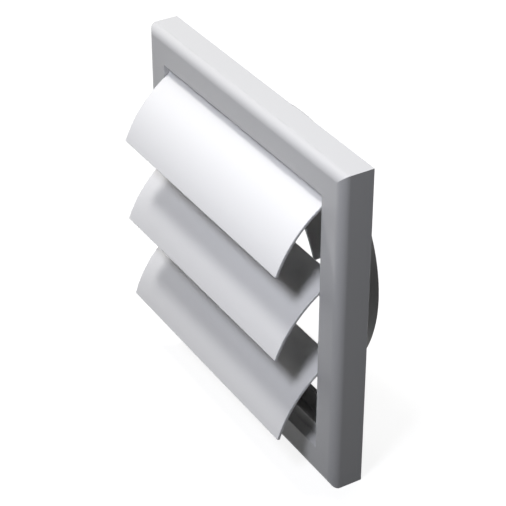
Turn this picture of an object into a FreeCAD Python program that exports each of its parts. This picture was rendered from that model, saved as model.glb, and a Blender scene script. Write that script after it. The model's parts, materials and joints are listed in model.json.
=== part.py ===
import FreeCAD, Part
import math
import os

# Backdraft damper for an outside wall: a square moulded front frame, three
# curved flaps that hang on their own pivot pins, and a round duct collar.
# Millimetres, +Z up, the front faces -Y. The origin is on the duct's axis,
# in the wall plane that the frame's back edge rests on.

Vector = FreeCAD.Vector
ORIGIN = Vector(0, 0, 0)
X_AXIS = Vector(1, 0, 0)
Y_AXIS = Vector(0, 1, 0)
Z_AXIS = Vector(0, 0, 1)

# Duct collar
duct_diameter = 149.0       # outside of the spigot, for 150 mm duct
collar_wall = 2.2
collar_reach = 20.3         # behind the wall plane
collar_rim_setback = 3.9    # its front rim, behind the front face
collar_lead_in = 1.0        # chamfer that guides the duct on
collar_clearance = 0.1      # between the collar and the frame
groove_depth = 0.8          # ring groove that the webs' edges snap into
stop_thickness = 1.5        # arcs that stop the collar against the webs
stop_margin_angle = 1.0     # left at each end of a stop arc

# Front frame
side_gap = 2.3              # from the collar to the sides of the opening
top_gap = 1.4               # from the collar to its top and bottom edges
side_border = 16.7          # face beside the opening
frame_depth = 18.0          # how far it stands off the wall
edge_radius = 4.9           # rounded front outer edge
opening_edge_radius = 0.5   # the moulded edge round the opening
wall = 2.4                  # face plate and outer walls
sleeve_wall = 2.2           # inner walls behind the opening
rib_thickness = 1.6         # stiffeners between inner and outer walls
rib_setback = 2.0           # ribs stop short of the wall plane
ribs_per_side = 3

# Fixing webs across the top and bottom of the sleeve, in the wall plane
web_thickness = 2.2
web_grip = 11.1             # how far their free edges reach in past the collar's crown
screw_hole_diameter = 4.5
screw_inset_side = 10.8     # from the side of the opening
screw_inset_top = 9.5       # from the sleeve's top wall

# Flaps and their pivots
top_pivot_drop = 4.9        # below the opening's top edge
pivot_setback = 4.5         # behind the front face
flap_end_clearance = 0.4    # between a flap's end and the sleeve
blade_radius = 66.6         # outer face of the curved blade
blade_thickness = 1.7
heel_length = 6.5           # blade above the pivot, along its curve
flap_overlap = 1.8          # of a closed flap's tip over the next one's heel
sill_gap = 4.7              # under the bottom flap's tip
blade_edge_radius = 0.4     # moulded edges all round
pin_diameter = 3.0
pin_length = 4.4
pin_chamfer = 0.5
pin_clearance = 0.05        # radial
hub_diameter = 5.2          # thickening under the blade at each pin
hub_length = 7.0
boss_diameter = 8.0         # round each pivot hole, inside the frame
boss_length = 3.0
flap_tilts = {"flap_top": 40.3, "flap_middle": 40.3, "flap_bottom": 36.8}   # how far each leans out

# Sill rail that the bottom flap closes against, and the reliefs round the flaps
rail_thickness = 1.6
rail_overlap = 2.4          # of the rail behind the flap's tip
stop_gap = 0.3              # left between closed faces
heel_gap = 1.5              # above the top flap's heel

# Worked out from the sizes above
duct_radius = duct_diameter / 2
groove_radius = duct_radius - groove_depth
half_open_x = duct_radius + side_gap
half_open_z = duct_radius + top_gap
half = half_open_x + side_border
front = -frame_depth
pivot_y = front + pivot_setback
top_pivot = half_open_z - top_pivot_drop
flap_count = len(flap_tilts)
closed_height = 2 * half_open_z - top_pivot_drop - sill_gap
flap_pitch = (closed_height + heel_length - flap_overlap) / flap_count
blade_drop = flap_pitch - heel_length + flap_overlap
pivot_heights = [top_pivot - i * flap_pitch for i in range(flap_count)]
half_blade = half_open_x - flap_end_clearance
middle_radius = blade_radius - blade_thickness / 2
blade_centre_y = math.sqrt(middle_radius ** 2 - (blade_drop / 2) ** 2)
blade_centre_z = -blade_drop / 2
inner_radius = blade_radius - blade_thickness
heel_reach = heel_length + blade_thickness
sleeve_top = max(half_open_z, top_pivot + heel_length + heel_gap)
sleeve_bottom = -half_open_z
collar_front = front + collar_rim_setback
tip_back = blade_thickness / 2 * blade_centre_y / middle_radius
rail_front = pivot_y + tip_back + stop_gap
rail_back = rail_front + rail_thickness
rail_top = pivot_heights[-1] - blade_drop + rail_overlap
# Heights between which a closed blade's inner face stands in front of the collar's rim
rim_depth = blade_centre_y + pivot_y - collar_front + stop_gap
rim_clear = math.sqrt(inner_radius ** 2 - rim_depth ** 2)
web_edge = duct_radius - web_grip
screw_x = half_open_x - screw_inset_side
screw_z = sleeve_top - screw_inset_top


def box(low, high):
    """Block between two opposite corners."""
    size = [b - a for a, b in zip(low, high)]
    return Part.makeBox(*size, Vector(*low))


def cylinder(radius, start, direction, length):
    """Round bar from a point, along a direction."""
    return Part.makeCylinder(radius, length, Vector(*start), direction)


def cut_all(body, tools):
    """Body with several shapes taken out of it."""
    return body.cut(Part.makeCompound(tools))


def pivot_places():
    """Every pivot's side and height."""
    return [(side, height) for side in (-1, 1) for height in pivot_heights]


def rounded_tray(inset, back):
    """Square block with mitred, rounded front edges: the common part of two bars.

    Both bars have the same section, one lies along X and one stands along Z,
    so the roundings meet on the diagonals as two mitred lengths would.
    """
    reach = half - inset
    radius = edge_radius - inset
    face = front + inset
    turn = radius * (1 - math.sqrt(0.5))

    def section(place):
        edges = [
            Part.makeLine(place(-reach, back), place(-reach, face + radius)),
            Part.Arc(
                place(-reach, face + radius), place(turn - reach, face + turn), place(radius - reach, face)
            ).toShape(),
            Part.makeLine(place(radius - reach, face), place(reach - radius, face)),
            Part.Arc(
                place(reach - radius, face), place(reach - turn, face + turn), place(reach, face + radius)
            ).toShape(),
            Part.makeLine(place(reach, face + radius), place(reach, back)),
            Part.makeLine(place(reach, back), place(-reach, back)),
        ]
        return Part.Face(Part.Wire(edges))

    lying = section(lambda across, y: Vector(-reach, y, across)).extrude(X_AXIS * 2 * reach)
    standing = section(lambda across, y: Vector(across, y, -reach)).extrude(Z_AXIS * 2 * reach)
    return lying.common(standing)


def opening_cutter():
    """Straight opening through the face plate, flared by a small rounding at the front."""
    opening = box((-half_open_x, front - wall, -half_open_z), (half_open_x, front + wall, half_open_z))
    flare = opening_edge_radius
    wide = box(
        (-half_open_x - flare, front - flare, -half_open_z - flare),
        (half_open_x + flare, front + flare, half_open_z + flare),
    )
    edges = []
    for side in (-1, 1):
        x = side * (half_open_x + flare)
        z = side * (half_open_z + flare)
        edges.append(cylinder(flare, (x, front + flare, -half), Z_AXIS, 2 * half))
        edges.append(cylinder(flare, (-half, front + flare, z), X_AXIS, 2 * half))
    return opening.fuse(cut_all(wide, edges))


def stiffening_ribs():
    """Ribs that tie the sleeve to the outer walls, evenly spaced on each side."""
    ribs = []
    t = rib_thickness / 2
    step = 2 * half_open_x / (ribs_per_side + 1)
    for i in range(ribs_per_side):
        place = step * (i + 1) - half_open_x
        ribs.append(box((place - t, front, sleeve_top), (place + t, -rib_setback, half)))
        ribs.append(box((place - t, front, -half), (place + t, -rib_setback, sleeve_bottom)))
        ribs.append(box((half_open_x, front, place - t), (half, -rib_setback, place + t)))
        ribs.append(box((-half, front, place - t), (-half_open_x, -rib_setback, place + t)))
    # The ribs end inside the thickness of the face plate and the outer walls
    return Part.makeCompound(ribs).common(rounded_tray(wall / 2, 0))


def fixing_webs():
    """Webs in the wall plane that carry the collar and the fixing screws."""
    upper = box((-half_open_x, -web_thickness, web_edge), (half_open_x, 0, sleeve_top))
    lower = box((-half_open_x, -web_thickness, sleeve_bottom), (half_open_x, 0, -web_edge))
    start = -2 * web_thickness
    through = 3 * web_thickness
    tools = [cylinder(groove_radius + collar_clearance, (0, start, 0), Y_AXIS, through)]
    for x in (-screw_x, screw_x):
        for z in (-screw_z, screw_z):
            tools.append(cylinder(screw_hole_diameter / 2, (x, start, z), Y_AXIS, through))
    return cut_all(upper.fuse(lower), tools)


def front_frame():
    """One moulding: rounded face, outer walls, sleeve, ribs, pivot bosses, webs and sill rail."""
    hollow = rounded_tray(wall, wall)
    sleeve_outside = box(
        (-half_open_x - sleeve_wall, front, sleeve_bottom - sleeve_wall),
        (half_open_x + sleeve_wall, wall, sleeve_top + sleeve_wall),
    )
    frame = rounded_tray(0, 0).cut(hollow.cut(sleeve_outside))
    bosses = []
    pivot_holes = []
    boss_end = sleeve_wall + boss_length
    for side, height in pivot_places():
        start = (side * half_open_x, pivot_y, height)
        bosses.append(cylinder(boss_diameter / 2, start, X_AXIS * side, boss_end))
        pivot_holes.append(cylinder(pin_diameter / 2 + pin_clearance, start, X_AXIS * side, boss_end))
    frame = frame.fuse([stiffening_ribs()] + bosses)
    sleeve_inside = box((-half_open_x, front + wall, sleeve_bottom), (half_open_x, wall, sleeve_top))
    frame = frame.cut([sleeve_inside, opening_cutter()] + pivot_holes)
    rail = box(
        (-half_open_x, rail_front, sleeve_bottom),
        (half_open_x, rail_back, rail_top),
    )
    return frame.fuse([fixing_webs(), rail]).removeSplitter()


def ring_arc(inner, outer, y_low, y_high, middle, spread):
    """Part of a ring round the duct's axis. The angles are in degrees, from +X towards +Z."""
    length = y_high - y_low
    arc = Part.makeCylinder(outer, length, ORIGIN, Z_AXIS, 2 * spread)
    arc = arc.cut(Part.makeCylinder(inner, length))
    arc.rotate(ORIGIN, Z_AXIS, middle - spread)
    # Stood up, the ring's own Z points along -Y
    arc.rotate(ORIGIN, X_AXIS, 90)
    arc.translate(Y_AXIS * y_high)
    return arc


def duct_collar():
    """Round tube from just behind the closed flaps to the duct, relieved for the heels."""
    bore = duct_radius - collar_wall
    groove_front = -web_thickness - collar_clearance
    groove_back = collar_clearance
    profile = [
        (bore, collar_front),
        (duct_radius, collar_front),
        (duct_radius, groove_front),
        (groove_radius, groove_front),
        (groove_radius, groove_back),
        (duct_radius, groove_back),
        (duct_radius, collar_reach - collar_lead_in),
        (duct_radius - collar_lead_in, collar_reach),
        (bore, collar_reach),
    ]
    corners = [Vector(radius, y, 0) for radius, y in profile]
    tube = Part.Face(Part.makePolygon(corners + corners[:1])).revolve(ORIGIN, Y_AXIS, 360)
    # Stop arcs in front of the groove, rooted in the tube's wall
    stop_front = groove_front - stop_thickness
    stop_radius = half_open_z - collar_clearance
    stop_spread = math.degrees(math.acos(web_edge / duct_radius)) - stop_margin_angle
    stops = [
        ring_arc(groove_radius, stop_radius, stop_front, groove_front, upright, stop_spread)
        for upright in (90, 270)
    ]
    # Notches where the pins, hubs, heels and tips swing, and a flat relief over the sill rail
    relief_back = pivot_y + heel_reach - blade_thickness / 2 + stop_gap
    relief_below = max(hub_diameter / 2 + stop_gap, -blade_centre_z - rim_clear)
    relief_above = max(heel_reach, flap_pitch + blade_centre_z - rim_clear)
    reliefs = [
        box((-half, front, height - relief_below), (half, relief_back, height + relief_above))
        for height in pivot_heights
    ]
    sill_relief = max(rail_top + stop_gap, pivot_heights[-1] - flap_pitch + relief_above)
    reliefs.append(box((-half, front, -half), (half, rail_back + stop_gap, sill_relief)))
    return cut_all(tube.fuse(stops), reliefs).removeSplitter()


def blade_section():
    """Section of a flap that hangs plumb, at its left end, with its pivot on the X axis."""
    # Angles round the blade's centre of curvature: heel above the pivot, tip at the bottom
    pivot_turn = math.atan2(-blade_centre_z, -blade_centre_y)
    tip_turn = 2 * math.pi - pivot_turn
    heel_turn = pivot_turn - heel_length / middle_radius
    middle_turn = (heel_turn + tip_turn) / 2

    def point(radius, turn):
        y = blade_centre_y + radius * math.cos(turn)
        z = blade_centre_z + radius * math.sin(turn)
        return Vector(-half_blade, y, z)

    def arc(radius):
        return Part.Arc(point(radius, heel_turn), point(radius, middle_turn), point(radius, tip_turn)).toShape()

    edges = [
        arc(blade_radius),
        Part.makeLine(point(blade_radius, tip_turn), point(inner_radius, tip_turn)),
        arc(inner_radius),
        Part.makeLine(point(inner_radius, heel_turn), point(blade_radius, heel_turn)),
    ]
    return Part.Face(Part.Wire(Part.sortEdges(edges)[0]))


def flap(height, tilt):
    """Curved blade with a hub and a pivot pin at each end, leaning out by tilt degrees."""
    blade = blade_section().extrude(X_AXIS * 2 * half_blade)
    blade = blade.makeFillet(blade_edge_radius, blade.Edges)
    # The hubs lie under the blade, whose outer face stays smooth
    centre_line = (-half_blade, blade_centre_y, blade_centre_z)
    under_blade = cylinder(blade_radius, centre_line, X_AXIS, 2 * half_blade)
    additions = []
    for side in (-1, 1):
        end = (side * half_blade, 0, 0)
        hub = cylinder(hub_diameter / 2, end, X_AXIS * -side, hub_length)
        pin = cylinder(pin_diameter / 2, end, X_AXIS * side, pin_length)
        free_end = [e for e in pin.Edges if abs(e.CenterOfMass.x) > half_blade + pin_length - pin_chamfer]
        additions += [hub.common(under_blade), pin.makeChamfer(pin_chamfer, free_end)]
    body = blade.fuse(additions).removeSplitter()
    # Turning by minus the tilt about +X swings the tip out, towards -Y
    body.rotate(ORIGIN, X_AXIS, -tilt)
    body.translate(Vector(0, pivot_y, height))
    return body


os.makedirs("parts", exist_ok=True)
pieces = {"front_frame": front_frame(), "duct_collar": duct_collar()}
for (name, tilt), height in zip(flap_tilts.items(), pivot_heights):
    pieces[name] = flap(height, tilt)
for name, shape in pieces.items():
    print(name, "solids", len(shape.Solids), "volume", round(shape.Volume), "valid", shape.isValid())
    solid = shape.Solids[0] if len(shape.Solids) == 1 else shape
    solid.exportStep("parts/" + name + ".step")
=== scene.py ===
# %% [markdown]
# # A backdraft damper in satin plastic
#
# The real object is a vent for an outside wall. A square moulded frame
# carries three curved flaps on pivot pins, and a round collar behind it joins
# the duct. Every piece is injection moulded in pale, smooth plastic, so the
# looks come from clean curved surfaces, small rounded edges and soft light.
#
# The CAD model is loaded first. It is a fixed frame: each of its solids is a
# mesh at its real place and size, in metres, that rides on a moving body.

# %% Load the CAD model
import json
import math

import bmesh
import bpy
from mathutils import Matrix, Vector

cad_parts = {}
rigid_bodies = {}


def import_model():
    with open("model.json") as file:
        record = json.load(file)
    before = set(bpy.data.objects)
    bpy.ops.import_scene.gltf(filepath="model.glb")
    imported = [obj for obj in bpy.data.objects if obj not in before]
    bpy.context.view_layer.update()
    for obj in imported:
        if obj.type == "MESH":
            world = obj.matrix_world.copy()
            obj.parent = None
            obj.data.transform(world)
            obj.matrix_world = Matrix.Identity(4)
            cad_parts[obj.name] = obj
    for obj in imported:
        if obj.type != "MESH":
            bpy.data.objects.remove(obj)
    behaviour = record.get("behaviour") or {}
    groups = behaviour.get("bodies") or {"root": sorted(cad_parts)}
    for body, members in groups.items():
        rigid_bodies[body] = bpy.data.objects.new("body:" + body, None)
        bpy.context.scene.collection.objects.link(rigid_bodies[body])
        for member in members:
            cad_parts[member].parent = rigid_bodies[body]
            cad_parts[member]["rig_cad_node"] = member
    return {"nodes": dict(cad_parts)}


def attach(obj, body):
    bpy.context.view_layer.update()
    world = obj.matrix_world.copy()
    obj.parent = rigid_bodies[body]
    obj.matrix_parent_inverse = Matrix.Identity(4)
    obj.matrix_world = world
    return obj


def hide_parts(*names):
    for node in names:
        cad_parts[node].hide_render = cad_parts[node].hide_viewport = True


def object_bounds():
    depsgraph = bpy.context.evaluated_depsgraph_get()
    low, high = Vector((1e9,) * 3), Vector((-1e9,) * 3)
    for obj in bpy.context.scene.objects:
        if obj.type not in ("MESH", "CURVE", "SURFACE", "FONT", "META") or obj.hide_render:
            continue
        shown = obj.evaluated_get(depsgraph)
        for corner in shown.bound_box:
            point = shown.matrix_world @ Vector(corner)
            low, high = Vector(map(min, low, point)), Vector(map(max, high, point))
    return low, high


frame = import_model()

MM = 0.001
cad_low, cad_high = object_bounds()

# %% [markdown]
# ## Directions by two angles
#
# The camera and the lamps stand round the damper. Their directions could be
# written as coordinates, but two angles read more easily: azimuth turns round
# the upright axis, from the front towards the right, and elevation rises from
# the floor. A camera and a lamp both look along their own -Z, so they face
# the damper when their +Z points away from it.

# %% Directions
def direction(azimuth, elevation):
    """The unit vector from the damper towards a place, by its angles in degrees."""
    turn = math.radians(azimuth)
    rise = math.radians(elevation)
    return Vector((
        math.sin(turn) * math.cos(rise),
        -math.cos(turn) * math.cos(rise),
        math.sin(rise),
    ))


def look_back_along(thing, away):
    """Turns a camera or a lamp so that its +Z points away from the damper."""
    thing.rotation_mode = "QUATERNION"
    thing.rotation_quaternion = away.to_track_quat("Z", "Y")


print("to the right of the front:", [round(v, 3) for v in direction(90, 0)])

# %% [markdown]
# ## The camera
#
# The photograph looks down on the damper from its front right. The camera's
# place and its lens were found by matching corners of the frame and the tips
# of the flaps, whose places the CAD model gives, with their places in the
# picture. A long lens far away keeps the sides nearly parallel, as there.

# %% Camera at the photograph's viewing angle
CAMERA_PLACE = Vector((0.6571, -0.4057, 0.5038))
CAMERA_AZIMUTH = 58.883
CAMERA_ELEVATION = 33.426
CAMERA_LENS = 124.53

camera = bpy.data.objects.new("camera", bpy.data.cameras.new("camera"))
bpy.context.scene.collection.objects.link(camera)
bpy.context.scene.camera = camera
camera.location = CAMERA_PLACE
look_back_along(camera, direction(CAMERA_AZIMUTH, CAMERA_ELEVATION))
camera.data.lens = CAMERA_LENS
print("camera", [round(v, 3) for v in CAMERA_PLACE], "lens", CAMERA_LENS)

# %% [markdown]
# ## Writing shader maths
#
# A material is a graph of nodes. Small sums in it read best as sums, so this
# class wraps a socket and gives it the signs + - *. Every other node comes
# from one method that takes its type, its settings and its inputs. A reader
# could also place the nodes by hand in the Shader Editor: the graph is the
# same, but in code each number has a name and can be changed in one place.

# %% A socket that can be added and multiplied
class Wire:
    """An output socket of a node tree, for use in Python expressions."""

    def __init__(self, tree, socket):
        self.tree = tree
        self.socket = socket

    def node(self, kind, settings=None, output=0, **inputs):
        return add_node(self.tree, kind, settings, output, **inputs)

    def maths(self, operation, first, second):
        return self.node(
            "ShaderNodeMath", {"operation": operation}, input_0=first, input_1=second
        )

    def __add__(self, other):
        return self.maths("ADD", self, other)

    __radd__ = __add__

    def __sub__(self, other):
        return self.maths("SUBTRACT", self, other)

    def __rsub__(self, other):
        return self.maths("SUBTRACT", other, self)

    def __mul__(self, other):
        return self.maths("MULTIPLY", self, other)

    __rmul__ = __mul__


def add_node(tree, kind, settings=None, output=0, **inputs):
    """Adds a node. Inputs are named as on the node, or input_0, input_1 by their order."""
    node = tree.nodes.new(kind)
    for name, value in (settings or {}).items():
        setattr(node, name, value)
    for name, value in inputs.items():
        by_order = name.startswith("input_")
        place = int(name.removeprefix("input_")) if by_order else name.replace("_", " ")
        socket = node.inputs[place]
        if isinstance(value, Wire):
            tree.links.new(value.socket, socket)
        else:
            socket.default_value = value
    return Wire(tree, node.outputs[output]) if node.outputs else node


# %% [markdown]
# ## The plastic
#
# Moulded polypropylene or ABS has an even colour and a satin skin. Up close
# the steel mould's polish shows as a very fine grain, the gloss drifts a
# little from place to place where the plastic flowed, and the colour is a
# shade deeper or paler there. A picture could be wrapped round the pieces
# for this, but it would need an unwrapped surface and would show its pixels
# close up. Two noises on Object coordinates need neither, and because each
# piece keeps its own coordinates they stay on it as it moves.

# %% Satin plastic
DRIFT_SIZE = 36 * MM
DRIFT_NOISE = {"Scale": 1 / DRIFT_SIZE, "Detail": 3.0, "Roughness": 0.5}
GRAIN_SIZE = 0.4 * MM
GRAIN_NOISE = {"Scale": 1 / GRAIN_SIZE, "Detail": 2.0, "Roughness": 0.6}
GRAIN_DEPTH = 0.02 * MM
GRAIN_STRENGTH = 0.25
DEEPEST_TINT = 0.985
GLOSS_DRIFT = 0.06
PLASTIC_IOR = 1.5


def grey_colour(level):
    return (level, level, level, 1)


def satin_plastic(name, grey, roughness, specular, seed):
    """Pale moulded plastic with a fine mould grain and a softly drifting gloss."""
    material = bpy.data.materials.new(name)
    material.use_nodes = True
    tree = material.node_tree
    shader = tree.nodes["Principled BSDF"]
    place = add_node(tree, "ShaderNodeTexCoord", output="Object")
    spot = place.node("ShaderNodeMapping", Vector=place, Location=(seed, 2 * seed, 3 * seed))
    drift = spot.node("ShaderNodeTexNoise", Vector=spot, **DRIFT_NOISE)
    grain = spot.node("ShaderNodeTexNoise", Vector=spot, **GRAIN_NOISE)
    # A Mix node in colour mode has its colours at inputs 6 and 7 and its result at output 2
    tint = drift.node(
        "ShaderNodeMix", {"data_type": "RGBA"}, output=2,
        input_0=drift, input_6=grey_colour(grey * DEEPEST_TINT), input_7=grey_colour(grey),
    )
    gloss = roughness - GLOSS_DRIFT / 2 + GLOSS_DRIFT * drift
    relief = grain.node(
        "ShaderNodeBump", Strength=GRAIN_STRENGTH, Distance=GRAIN_DEPTH, Height=grain
    )
    for socket, wire in (("Base Color", tint), ("Roughness", gloss), ("Normal", relief)):
        tree.links.new(wire.socket, shader.inputs[socket])
    shader.inputs["IOR"].default_value = PLASTIC_IOR
    shader.inputs["Specular IOR Level"].default_value = specular
    print("material", name, "grey", grey, "roughness", roughness)
    return material


# %% [markdown]
# ## Three finishes
#
# One plastic for all pieces would be the simplest, but the photograph shows
# the frame greyer than the flaps. The collar behind it is made greyer again as
# painted shade: its grey is lowered to stand in for the frame's shadow on it,
# and it is also duller. So each has a finish of its own. The seed shifts the
# noises, so that no two finishes drift alike.

# %% The three finishes
FINISHES = {
    "frame_plastic": satin_plastic(
        "frame_plastic", grey=0.58, roughness=0.32, specular=0.3, seed=1.0
    ),
    # The collar's grey is painted shade: lower than its plastic's own, to stand in for the
    # frame's shadow on it.
    "collar_plastic": satin_plastic(
        "collar_plastic", grey=0.55, roughness=0.45, specular=0.3, seed=2.0
    ),
    "flap_plastic": satin_plastic(
        "flap_plastic", grey=0.80, roughness=0.32, specular=0.4, seed=3.0
    ),
}

# %% [markdown]
# ## The frame's mitres
#
# Where two bars of the frame meet, their big roundings cross in a mitre. The
# mitre is a crisp line on the real moulding, so the light changes at it at
# once. Its edges could be picked by hand in edit mode, but a test on their
# place finds them each time: both ends lie on a diagonal of the square face.

# %% Which edges are mitres
MITRE_WIDTH = 0.01 * MM


def on_mitre(edge):
    """Whether an edge lies in one of the four mitres, where two bars of the frame meet."""
    start, end = (v.co for v in edge.verts)
    diagonal = all(abs(abs(p.x) - abs(p.z)) < MITRE_WIDTH for p in (start, end))
    return diagonal and start.x * end.x > 0 and start.z * end.z > 0


# %% [markdown]
# ## A closed copy of a CAD solid
#
# The CAD solids of the frame and the collar are loose triangles. That is fine
# for a picture, but a bevel would find an edge at each of them. So a copy is
# merged into one closed skin, and the triangles of each flat are joined into
# one face. The CAD node itself is never changed.

# %% Merge a copy
MERGE_DISTANCE = 0.001 * MM
FLAT_ANGLE = math.radians(0.05)


def merged_copy(node_name, piece_name):
    """A copy of a CAD solid as one closed skin, with edit mode left on."""
    bpy.ops.object.select_all(action="DESELECT")
    frame["nodes"][node_name].select_set(True)
    bpy.context.view_layer.objects.active = frame["nodes"][node_name]
    bpy.ops.object.duplicate()
    piece = bpy.context.object
    piece.name = piece_name
    del piece["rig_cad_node"]
    bpy.ops.object.mode_set(mode="EDIT")
    bpy.ops.mesh.select_mode(type="EDGE")
    bpy.ops.mesh.select_all(action="SELECT")
    bpy.ops.mesh.customdata_custom_splitnormals_clear()
    bpy.ops.mesh.remove_doubles(threshold=MERGE_DISTANCE)
    bpy.ops.mesh.dissolve_limited(angle_limit=FLAT_ANGLE)
    return piece


# %% [markdown]
# ## Softened edges
#
# A mould can't leave a perfectly square edge. Each one gets a rounding of a
# few tenths of a millimetre, and that is what catches a thin line of light.
# A Bevel modifier could round every edge by its angle, but it would round the
# mitres too, and the rims of the small screw and pivot holes, which have no
# room for it. So the long square edges are selected and bevelled, and the
# mitres are marked sharp.

# %% Soften the long square edges
EDGE_ROUNDING = 0.3 * MM
ROUNDING_STEPS = 2
SHORTEST_SOFTENED = 1.5 * MM
SQUARE_ANGLE = math.radians(60)


def is_long_and_square(edge):
    return edge.calc_length() > SHORTEST_SOFTENED and edge.calc_face_angle() > SQUARE_ANGLE


def select_edges(piece, wanted):
    """Selects the edges that pass a test, and nothing else."""
    bpy.ops.mesh.select_all(action="DESELECT")
    for edge in bmesh.from_edit_mesh(piece.data).edges:
        edge.select_set(wanted(edge))
    bmesh.update_edit_mesh(piece.data)


def soften_edges(piece):
    """Marks the mitres, rounds the long square edges over and leaves edit mode."""
    select_edges(piece, on_mitre)
    bpy.ops.mesh.mark_sharp()
    select_edges(piece, lambda edge: is_long_and_square(edge) and not on_mitre(edge))
    bpy.ops.mesh.bevel(
        offset=EDGE_ROUNDING, segments=ROUNDING_STEPS, affect="EDGES", clamp_overlap=False
    )
    bpy.ops.mesh.select_all(action="SELECT")
    bpy.ops.mesh.dissolve_degenerate(threshold=MERGE_DISTANCE)
    bpy.ops.object.mode_set(mode="OBJECT")


# %% [markdown]
# ## The frame and the collar
#
# Shading comes last. The big roundings are smooth on the real moulding and
# its flats are flat. Smooth shading alone would bend the light over a whole
# flat, so the Weighted Normal modifier lets the large faces decide. Both
# pieces then ride on the housing and stand in for their CAD solids.

# %% Make the frame and the collar
SMOOTH_ANGLE = math.radians(48)


def moulded_piece(node_name, piece_name, finish):
    """A closed copy of a CAD solid with softened edges, in its finish."""
    piece = merged_copy(node_name, piece_name)
    soften_edges(piece)
    bpy.ops.object.shade_smooth_by_angle(angle=SMOOTH_ANGLE)
    bpy.ops.object.modifier_add(type="WEIGHTED_NORMAL")
    piece.modifiers[-1].keep_sharp = True
    bpy.ops.object.modifier_apply(modifier=piece.modifiers[-1].name)
    piece.data.materials.clear()
    piece.data.materials.append(FINISHES[finish])
    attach(piece, "housing")
    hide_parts(node_name)
    print(piece_name, "faces", len(piece.data.polygons))


moulded_piece("front_frame", "moulded_frame", "frame_plastic")
# The collar takes the finish whose lowered grey is painted shade.
moulded_piece("duct_collar", "moulded_collar", "collar_plastic")

# %% [markdown]
# ## The flaps
#
# Each flap is one thin curved blade with a short heel above its pins. The
# blades could be made again here from a bent strip, but the CAD solids
# already have the true curve, the hubs and pins, and rounded edges all
# round. So they stay as they are, ride on their own hinges, and only take
# the finish.

# %% Finish on the flaps
for flap_name in ("flap_top", "flap_middle", "flap_bottom"):
    flap = frame["nodes"][flap_name]
    flap.data.materials.clear()
    flap.data.materials.append(FINISHES["flap_plastic"])
    print(flap_name, "in", flap.data.materials[0].name)

# %% [markdown]
# ## Two kinds of ray
#
# The ground and the background in the photograph are plain white, but the
# damper's lower faces are dark, so little light comes up from below. A white
# floor that also lit the object would spoil that. The Light Path node can
# tell what a ray is for: this mask is 1 for the rays that show the floor or
# the world to the camera, straight, mirrored or through something, and 0 for
# the light that bounces from them on to the object.

# %% A mask for what the camera sees
def seen_rays(tree):
    """1 for what the camera sees straight, mirrored or through something, and 0 elsewhere."""
    rays = tree.nodes.new("ShaderNodeLightPath")
    straight, mirrored, through = (
        Wire(tree, rays.outputs[name])
        for name in ("Is Camera Ray", "Is Glossy Ray", "Is Transmission Ray")
    )
    return 1 - (1 - straight) * (1 - mirrored) * (1 - through)


# %% [markdown]
# ## The floor
#
# The damper stands on a large matt sheet, level with its lower edge. What
# the camera sees of it is mostly a white glow, with a share that takes light
# and so keeps the damper's faint shadow, as thin as in the photograph. What
# bounces from it is the light of a darker sheet.

# %% Floor
FLOOR_SIZE = 12.0
FLOOR_SEEN = 0.25
FLOOR_GLOW = 0.87
FLOOR_BOUNCE = 0.05

bpy.ops.object.select_all(action="DESELECT")
bpy.ops.mesh.primitive_plane_add(size=FLOOR_SIZE, location=(0, 0, cad_low.z))
floor = bpy.context.object
floor.name = "floor"
paper = bpy.data.materials.new("floor_paper")
paper.use_nodes = True
sheet = paper.node_tree
sheet.nodes.clear()
seen = seen_rays(sheet)
lit = seen.node("ShaderNodeBsdfDiffuse", Color=grey_colour(FLOOR_SEEN))
glow = seen.node("ShaderNodeEmission", Color=grey_colour(1), Strength=FLOOR_GLOW)
bounce = seen.node("ShaderNodeBsdfDiffuse", Color=grey_colour(FLOOR_BOUNCE))
bright = seen.node("ShaderNodeAddShader", input_0=lit, input_1=glow)
choice = seen.node("ShaderNodeMixShader", input_0=seen, input_1=bounce, input_2=bright)
choice.node("ShaderNodeOutputMaterial", Surface=choice)
floor.data.materials.append(paper)
print("floor at", round(cad_low.z / MM, 1), "mm")

# %% [markdown]
# ## The background
#
# Behind the floor's far edge the camera sees the world. It is white to the
# camera, with a strength of 1, and dark to everything else, so the lamps
# alone shape the plastic.

# %% World
world = bpy.data.worlds.new("studio")
bpy.context.scene.world = world
world.use_nodes = True
sky = world.node_tree
sky.nodes.clear()
backdrop = add_node(sky, "ShaderNodeBackground", Color=grey_colour(1), Strength=seen_rays(sky))
backdrop.node("ShaderNodeOutputWorld", Surface=backdrop)
print("world", world.name, "is white to the camera")

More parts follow.
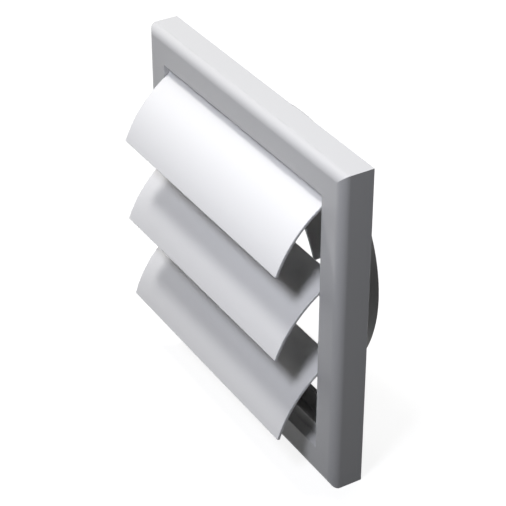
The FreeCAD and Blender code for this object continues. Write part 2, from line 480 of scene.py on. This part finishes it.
# %% [markdown]
# ## A soft lamp
#
# A studio softbox is a lit square of cloth. Blender's area lamp is just that,
# and its size sets how soft the shadow's edge is. A point lamp would draw
# hard black shadows, and a sun lamp would light every height alike. The power
# that a lamp needs grows with the square of its distance, so each is given as
# a share of one full light, and the helper works out the power.

# %% One softbox
FULL_POWER = 20
FULL_POWER_DISTANCE = 1.6


def softbox(name, azimuth, elevation, distance, size, share, colour):
    """A square area lamp that faces the damper and gives it a share of full light."""
    lamp = bpy.data.objects.new(name, bpy.data.lights.new(name, "AREA"))
    bpy.context.scene.collection.objects.link(lamp)
    away = direction(azimuth, elevation)
    lamp.location = away * distance
    look_back_along(lamp, away)
    lamp.data.size = size
    lamp.data.energy = FULL_POWER * share * (distance / FULL_POWER_DISTANCE) ** 2
    lamp.data.color = colour
    print("lamp", name, "power", round(lamp.data.energy, 2))


# %% [markdown]
# ## Five lamps round the damper
#
# The shade that each flap drops on the next tells where the light was: high
# on the left, about ten degrees across. That is the key. A small lamp near
# the front right lights the faces that look at the camera, a broad softbox
# on the left brightens the roundings and the flaps' upper halves, and one
# high behind lifts the frame's top. They could be placed by eye, but here
# each lamp was rendered alone, and the shares below are the mixture of those
# renders that comes nearest to the photograph's tones.
#
# The last lamp stands behind. It hardly reaches what the photograph shows,
# but it lets the ribs and the collar be seen from the back. It stands a
# little to the left, so that it doesn't shine through the duct into the dark
# gaps on the right.
#
# Some lamps have a slight colour, because the plastic looks bluish on its
# shaded right side in the photograph and neutral on top. The Standard view
# shows the tones as they are, without the curve that a film look would add.

# %% Five softboxes
softbox("key", azimuth=-60, elevation=65, distance=1.6, size=0.25, share=0.63,
        colour=(1.01, 1.0, 1.0))
softbox("key_right", azimuth=30, elevation=50, distance=0.8, size=0.15, share=0.64,
        colour=(0.98, 1.0, 1.09))
softbox("broad_left", azimuth=-75, elevation=40, distance=1.6, size=1.2, share=0.14,
        colour=(1.06, 1.0, 0.88))
softbox("high_back", azimuth=-120, elevation=80, distance=1.6, size=0.6, share=0.33,
        colour=(0.99, 1.0, 1.0))
softbox("low_back", azimuth=-160, elevation=30, distance=1.6, size=0.6, share=0.2,
        colour=(1.0, 1.0, 1.0))
bpy.context.scene.view_settings.view_transform = "Standard"
